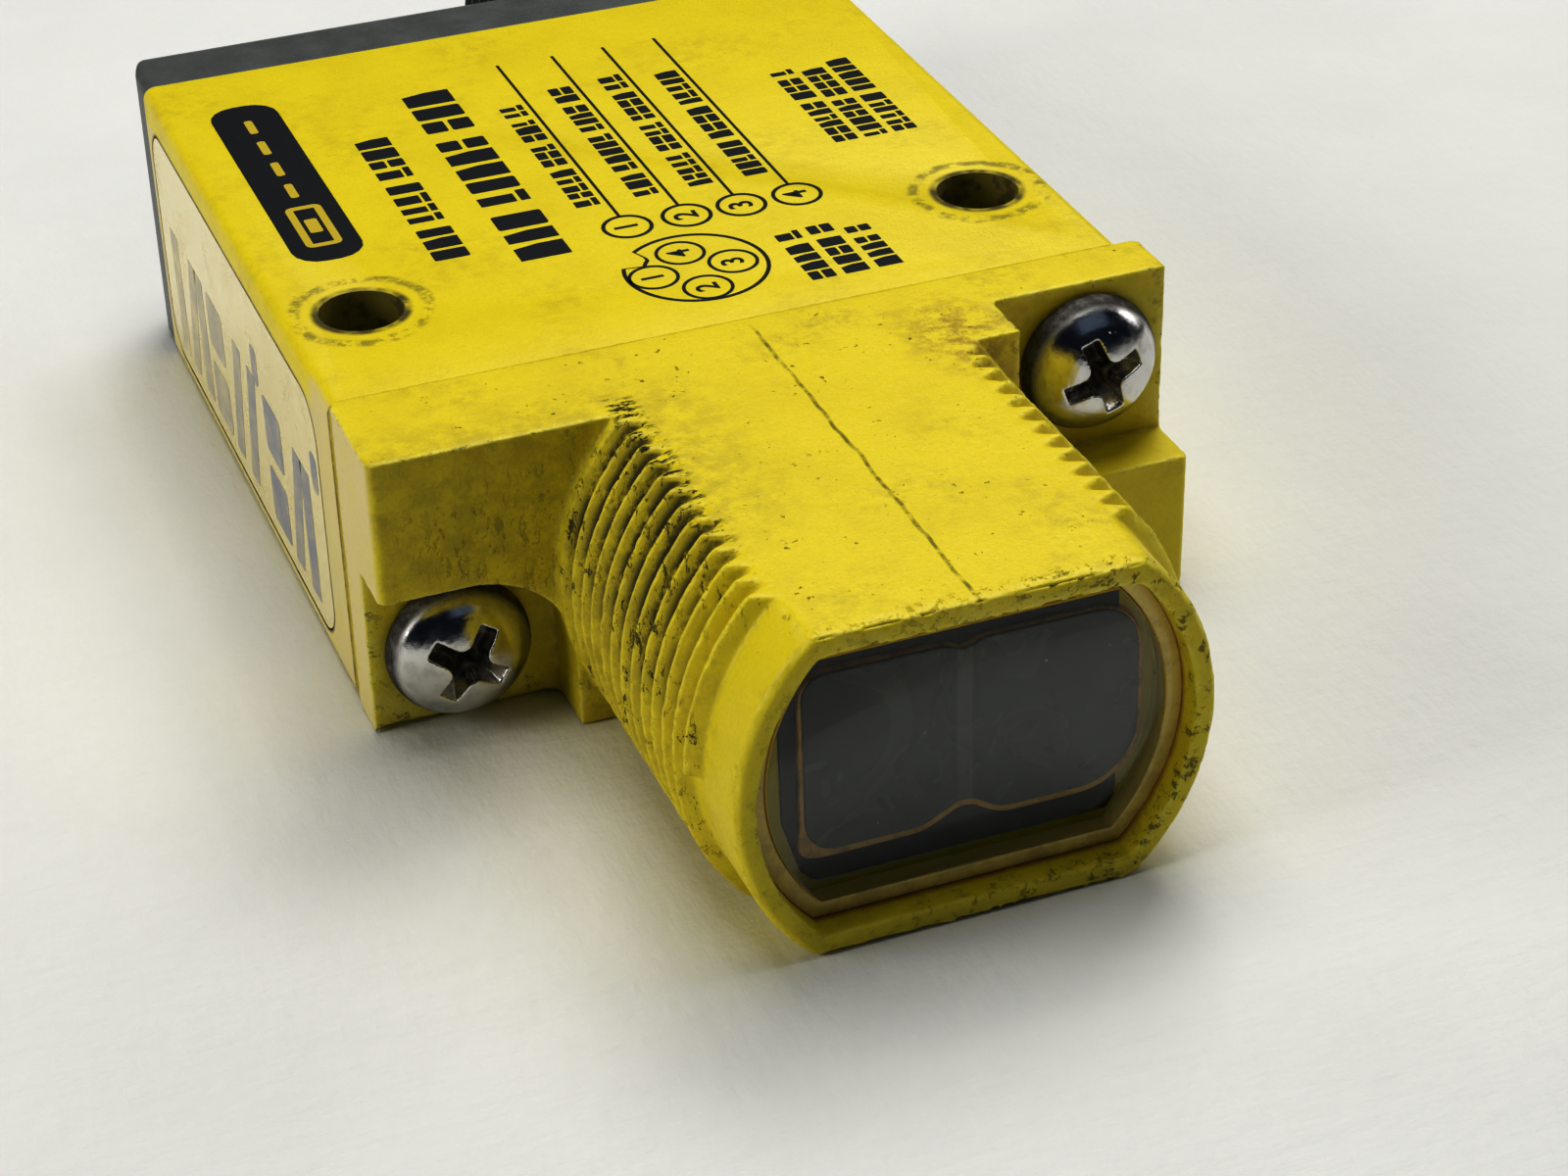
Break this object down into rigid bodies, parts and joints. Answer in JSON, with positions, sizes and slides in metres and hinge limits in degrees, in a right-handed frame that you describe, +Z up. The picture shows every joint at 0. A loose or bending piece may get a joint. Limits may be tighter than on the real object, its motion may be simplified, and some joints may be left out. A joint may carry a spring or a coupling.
{
  "type": "photoelectric sensor",
  "caption": "Compact photoelectric sensor: flat rectangular body, threaded two-flatted lens barrel in front, adjusters under a clear lid and a round threaded connector behind.",
  "frame": {"origin": "on the surface it lies on, under the middle of its overall box", "axes": "+Y from the lens barrel's tip towards the connector, +X to the right seen from the lens, +Z up, normal to the wide faces"},
  "size_m": [0.0308, 0.066, 0.0122],
  "materials": {
    "yellow_plastic": "moulded, faintly glossy, worn",
    "dark_grey_plastic": "fine satin texture",
    "black_plastic": "satin",
    "clear_acrylic": "polished",
    "smoked_plastic": "polished",
    "red_lens": "polished",
    "white_plastic": "satin",
    "label_film": "printed film",
    "black_rubber": "matte",
    "stainless_steel": "polished",
    "brass": "machined",
    "gold_plate": "gold plated",
    "circuit_board": "solder mask",
    "potting_epoxy": "cast",
    "wire_insulation": "smooth"
  },
  "bodies": {
    "housing": {"lens_housing": "yellow_plastic", "body_housing": "yellow_plastic", "side_label": "label_film", "lens": "clear_acrylic", "lens_mask": "black_plastic", "optical_filter": "smoked_plastic", "light_baffle": "black_plastic", "emitter_led": "clear_acrylic", "light_receiver": "black_plastic", "optics_board": "circuit_board", "front_gasket": "black_rubber", "cover_screw_left": "stainless_steel", "threaded_insert_left": "brass", "cover_screw_right": "stainless_steel", "threaded_insert_right": "brass", "main_board": "circuit_board", "board_link": "white_plastic", "modulator_chip": "black_plastic", "supply_regulator": "black_plastic", "supply_capacitor": "black_plastic", "output_transistor_npn": "black_plastic", "output_transistor_pnp": "black_plastic", "protection_diode": "black_plastic", "upper_potting": "potting_epoxy", "lower_potting": "potting_epoxy", "rear_cover": "dark_grey_plastic", "rear_gasket": "black_rubber", "trimmer_body": "white_plastic", "selector_body": "black_plastic", "indicator_led": "red_lens", "connector_shell": "black_plastic", "contact_insert": "black_plastic", "connector_seal": "black_rubber", "contact_pin_1": "gold_plate", "lead_wire_1": "wire_insulation", "contact_pin_2": "gold_plate", "lead_wire_2": "wire_insulation", "contact_pin_3": "gold_plate", "lead_wire_3": "wire_insulation", "contact_pin_4": "gold_plate", "lead_wire_4": "wire_insulation"},
    "gain_adjuster": {"gain_screw": "brass"},
    "gain_wiper": {"wiper_carriage": "black_plastic"},
    "mode_selector": {"selector_rotor": "white_plastic"},
    "lid": {"control_lid": "clear_acrylic", "control_lid_gasket": "black_rubber", "control_lid_screw_left": "stainless_steel", "control_lid_screw_right": "stainless_steel"}
  },
  "joints": [
    {"name": "gain_turn", "type": "hinge", "parent": "housing", "child": "gain_adjuster", "pos_m": [-0.00715, 0.018, 0.0061], "axis": [0, 1, 0], "range_deg": [-2700, 2700]},
    {"name": "wiper_travel", "type": "slide", "parent": "housing", "child": "gain_wiper", "axis": [0, 1, 0], "range_m": [-0.0035, 0.0035]},
    {"name": "mode_turn", "type": "hinge", "parent": "housing", "child": "mode_selector", "pos_m": [-0.0023, 0.018, 0.0061], "axis": [0, 1, 0], "range_deg": [0, 210]},
    {"name": "lid_lift", "type": "slide", "parent": "housing", "child": "lid", "axis": [0, 1, 0], "range_m": [0, 0.03]}
  ],
  "couplings": [
    {"joint": "gain_turn", "follows": "wiper_travel", "rad_per_m": 13464}
  ]
}
